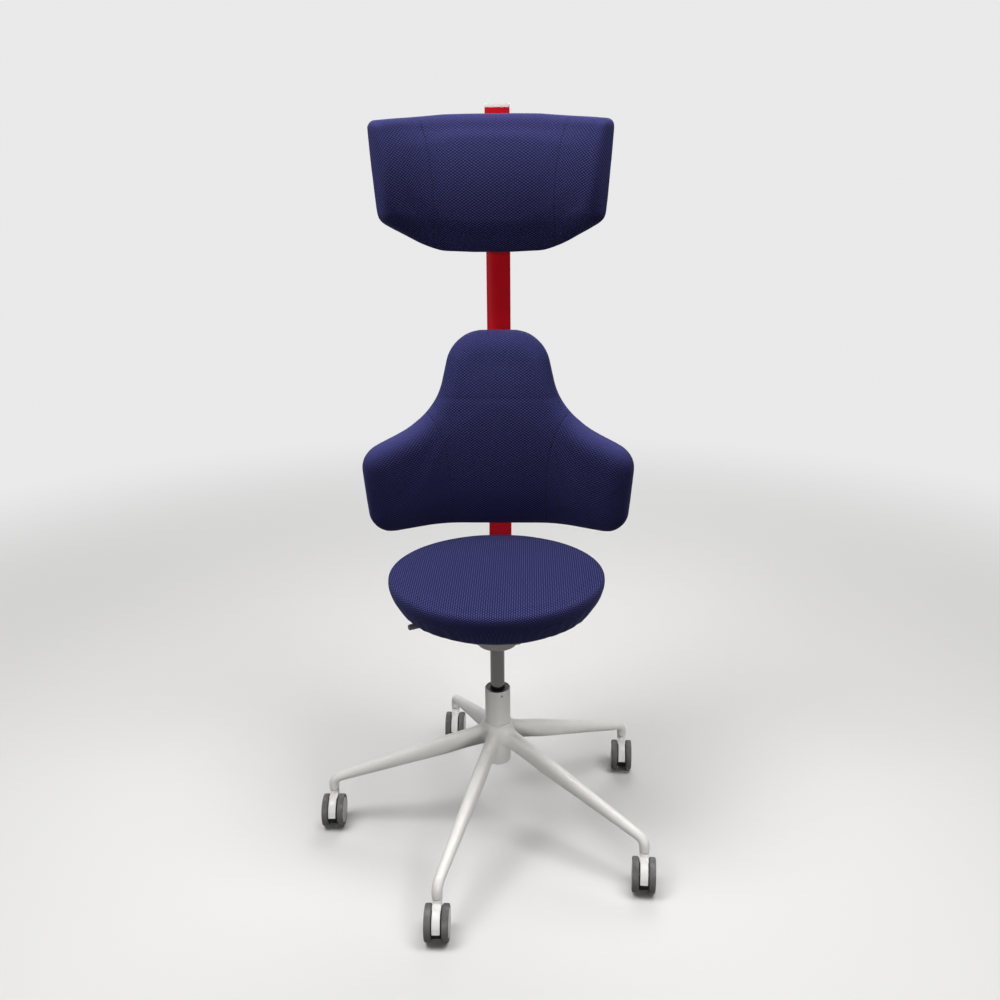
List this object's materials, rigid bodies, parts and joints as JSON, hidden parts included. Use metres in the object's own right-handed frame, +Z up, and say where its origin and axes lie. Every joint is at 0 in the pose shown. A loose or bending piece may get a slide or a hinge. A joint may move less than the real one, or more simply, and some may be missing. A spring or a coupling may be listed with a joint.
{
  "type": "office chair",
  "caption": "Swivel office chair with a round knit seat, winged back pad and wide head pad sliding on a flat upright bar, over a gas lift and a star base on twin-wheel casters.",
  "frame": {"origin": "on the floor, on the axis of the gas lift", "axes": "+Z up along the gas lift, -Y the way the sitter faces, +X to the sitter's left"},
  "size_m": [0.6622, 0.7102, 1.4012],
  "materials": {
    "knit_fabric": "matte",
    "red_paint": "gloss",
    "white_paint": "satin",
    "white_tube": "satin",
    "white_plastic": "satin",
    "grey_plastic": "satin",
    "black_plastic": "matte",
    "tread_rubber": "matte",
    "chrome": "polished",
    "steel": "satin"
  },
  "bodies": {
    "base": {"base_star": "white_paint", "column_tube": "white_tube", "guide_bush": "black_plastic", "thrust_bearing": "steel", "caster_stem_1": "steel", "caster_stem_2": "steel", "caster_stem_3": "steel", "caster_stem_4": "steel", "caster_stem_5": "steel"},
    "lift_rod": {"piston_rod": "steel", "rod_clip": "steel"},
    "seat": {"lift_cylinder": "chrome", "mechanism_cover": "grey_plastic", "mechanism_housing": "black_plastic", "recline_pin": "steel", "seat_pan": "black_plastic", "seat_cushion": "knit_fabric"},
    "lever": {"height_lever": "steel", "lever_grip": "grey_plastic"},
    "button": {"release_button": "steel"},
    "upright": {"upright_bar": "red_paint", "bar_cap": "white_plastic"},
    "back_slider": {"back_carriage": "black_plastic", "back_pin": "steel"},
    "back_clamp": {"back_knob": "black_plastic"},
    "back_pad": {"back_shell": "black_plastic", "back_cushion": "knit_fabric"},
    "head_slider": {"head_carriage": "black_plastic", "head_pin": "steel"},
    "head_clamp": {"head_knob": "black_plastic"},
    "head_pad": {"head_shell": "black_plastic", "head_cushion": "knit_fabric"},
    "caster_1": {"caster_hood_1": "white_plastic", "caster_core_1": "black_plastic", "caster_axle_1": "steel"},
    "caster_2": {"caster_hood_2": "white_plastic", "caster_core_2": "black_plastic", "caster_axle_2": "steel"},
    "caster_3": {"caster_hood_3": "white_plastic", "caster_core_3": "black_plastic", "caster_axle_3": "steel"},
    "caster_4": {"caster_hood_4": "white_plastic", "caster_core_4": "black_plastic", "caster_axle_4": "steel"},
    "caster_5": {"caster_hood_5": "white_plastic", "caster_core_5": "black_plastic", "caster_axle_5": "steel"},
    "left_wheel_1": {"wheel_left_1": "tread_rubber"},
    "left_wheel_2": {"wheel_left_2": "tread_rubber"},
    "left_wheel_3": {"wheel_left_3": "tread_rubber"},
    "left_wheel_4": {"wheel_left_4": "tread_rubber"},
    "left_wheel_5": {"wheel_left_5": "tread_rubber"},
    "right_wheel_1": {"wheel_right_1": "tread_rubber"},
    "right_wheel_2": {"wheel_right_2": "tread_rubber"},
    "right_wheel_3": {"wheel_right_3": "tread_rubber"},
    "right_wheel_4": {"wheel_right_4": "tread_rubber"},
    "right_wheel_5": {"wheel_right_5": "tread_rubber"}
  },
  "joints": [
    {"name": "swivel", "type": "hinge", "parent": "base", "child": "lift_rod", "pos_m": [0, 0, 0.191], "axis": [0, 0, 1], "continuous": true},
    {"name": "seat_height", "type": "slide", "parent": "lift_rod", "child": "seat", "axis": [0, 0, 1], "range_m": [-0.06, 0.04]},
    {"name": "lever_pull", "type": "hinge", "parent": "seat", "child": "lever", "pos_m": [-0.036, 0, 0.46319], "axis": [0, 1, 0], "range_deg": [0, 4], "stiffness_Nm_per_rad": 2},
    {"name": "button_press", "type": "slide", "parent": "seat", "child": "button", "axis": [0, 0, -1], "range_m": [0, 0.004]},
    {"name": "recline", "type": "hinge", "parent": "seat", "child": "upright", "pos_m": [0, 0.098, 0.44939], "axis": [-1, 0, 0], "range_deg": [-3, 8]},
    {"name": "back_height", "type": "slide", "parent": "upright", "child": "back_slider", "axis": [0, 0, 1], "range_m": [0, 0.07]},
    {"name": "back_knob_turn", "type": "hinge", "parent": "back_slider", "child": "back_clamp", "pos_m": [0, 0.2933, 0.79139], "axis": [0, 1, 0], "range_deg": [0, 360]},
    {"name": "back_tilt", "type": "hinge", "parent": "back_slider", "child": "back_pad", "pos_m": [0, 0.239, 0.79139], "axis": [-1, 0, 0], "range_deg": [-6, 6]},
    {"name": "head_height", "type": "slide", "parent": "upright", "child": "head_slider", "axis": [0, 0, 1], "range_m": [-0.06, 0.05]},
    {"name": "head_knob_turn", "type": "hinge", "parent": "head_slider", "child": "head_clamp", "pos_m": [0, 0.2933, 1.26139], "axis": [0, 1, 0], "range_deg": [0, 360]},
    {"name": "head_tilt", "type": "hinge", "parent": "head_slider", "child": "head_pad", "pos_m": [0, 0.239, 1.26139], "axis": [-1, 0, 0], "range_deg": [-12, 12]},
    {"name": "caster_swivel_1", "type": "hinge", "parent": "base", "child": "caster_1", "pos_m": [-0.33894, -0.00651, 0.07], "axis": [0, 0, 1], "continuous": true},
    {"name": "caster_swivel_2", "type": "hinge", "parent": "base", "child": "caster_2", "pos_m": [-0.09855, -0.32436, 0.07], "axis": [0, 0, 1], "continuous": true},
    {"name": "caster_swivel_3", "type": "hinge", "parent": "base", "child": "caster_3", "pos_m": [0.27803, -0.19396, 0.07], "axis": [0, 0, 1], "continuous": true},
    {"name": "caster_swivel_4", "type": "hinge", "parent": "base", "child": "caster_4", "pos_m": [0.27038, 0.20449, 0.07], "axis": [0, 0, 1], "continuous": true},
    {"name": "caster_swivel_5", "type": "hinge", "parent": "base", "child": "caster_5", "pos_m": [-0.11093, 0.32034, 0.07], "axis": [0, 0, 1], "continuous": true},
    {"name": "left_roll_1", "type": "hinge", "parent": "caster_1", "child": "left_wheel_1", "pos_m": [-0.33866, -0.02251, 0.0321], "axis": [0.9998, 0.0175, 0], "continuous": true},
    {"name": "right_roll_1", "type": "hinge", "parent": "caster_1", "child": "right_wheel_1", "pos_m": [-0.33866, -0.02251, 0.0321], "axis": [0.9998, 0.0175, 0], "continuous": true},
    {"name": "left_roll_2", "type": "hinge", "parent": "caster_2", "child": "left_wheel_2", "pos_m": [-0.09855, -0.34036, 0.0321], "axis": [1, 0, 0], "continuous": true},
    {"name": "right_roll_2", "type": "hinge", "parent": "caster_2", "child": "right_wheel_2", "pos_m": [-0.09855, -0.34036, 0.0321], "axis": [1, 0, 0], "continuous": true},
    {"name": "left_roll_3", "type": "hinge", "parent": "caster_3", "child": "left_wheel_3", "pos_m": [0.27664, -0.2099, 0.0321], "axis": [0.9962, -0.0872, 0], "continuous": true},
    {"name": "right_roll_3", "type": "hinge", "parent": "caster_3", "child": "right_wheel_3", "pos_m": [0.27664, -0.2099, 0.0321], "axis": [0.9962, -0.0872, 0], "continuous": true},
    {"name": "left_roll_4", "type": "hinge", "parent": "caster_4", "child": "left_wheel_4", "pos_m": [0.26954, 0.18851, 0.0321], "axis": [0.9986, -0.0523, 0], "continuous": true},
    {"name": "right_roll_4", "type": "hinge", "parent": "caster_4", "child": "right_wheel_4", "pos_m": [0.26954, 0.18851, 0.0321], "axis": [0.9986, -0.0523, 0], "continuous": true},
    {"name": "left_roll_5", "type": "hinge", "parent": "caster_5", "child": "left_wheel_5", "pos_m": [-0.11121, 0.30434, 0.0321], "axis": [0.9998, -0.0175, 0], "continuous": true},
    {"name": "right_roll_5", "type": "hinge", "parent": "caster_5", "child": "right_wheel_5", "pos_m": [-0.11121, 0.30434, 0.0321], "axis": [0.9998, -0.0175, 0], "continuous": true}
  ],
  "couplings": [
    {"joint": "button_press", "follows": "lever_pull", "m_per_rad": 0.036}
  ]
}
